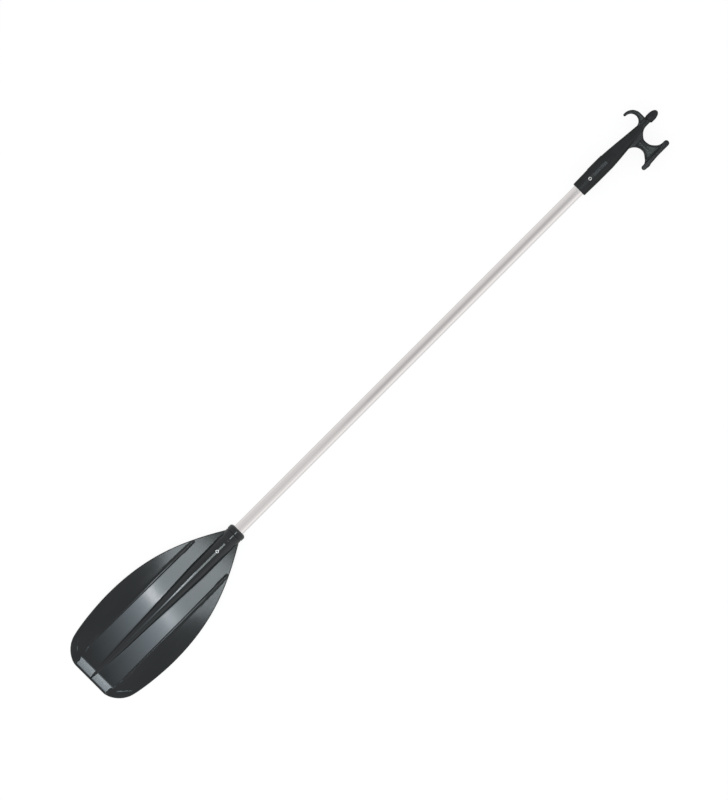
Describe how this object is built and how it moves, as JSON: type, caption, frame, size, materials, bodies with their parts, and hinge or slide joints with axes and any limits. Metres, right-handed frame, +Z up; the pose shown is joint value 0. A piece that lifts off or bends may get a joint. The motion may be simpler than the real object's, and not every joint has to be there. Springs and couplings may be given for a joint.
{
  "type": "paddle with boat hook",
  "caption": "Fixed-length boat paddle: ribbed black blade riveted to a straight bright tube, with a black boat-hook head at the other end.",
  "frame": {"origin": "on the surface the oar lies on, under the middle of its length and of its width; the shaft's axis is 21.0 mm above it", "axes": "+X along the shaft towards the hook's nose, +Y towards the curled hook, +Z up, out of the blade's ribbed back"},
  "size_m": [1.5, 0.1774, 0.0391],
  "materials": {
    "anodised_aluminium": "satin clear anodised",
    "blade_plastic": "smooth satin black moulding",
    "hook_plastic": "dull black moulding",
    "rivet_aluminium": "bright",
    "mandrel_steel": "broken end, dull",
    "closed_cell_foam": "pale closed-cell foam"
  },
  "bodies": {
    "root": {"shaft_tube": "anodised_aluminium", "paddle_blade": "blade_plastic", "hook_head": "hook_plastic", "blade_rivet": "rivet_aluminium", "hook_rivet": "rivet_aluminium", "blade_rivet_mandrel": "mandrel_steel", "hook_rivet_mandrel": "mandrel_steel", "blade_end_plug": "closed_cell_foam", "hook_end_plug": "closed_cell_foam"}
  },
  "joints": []
}
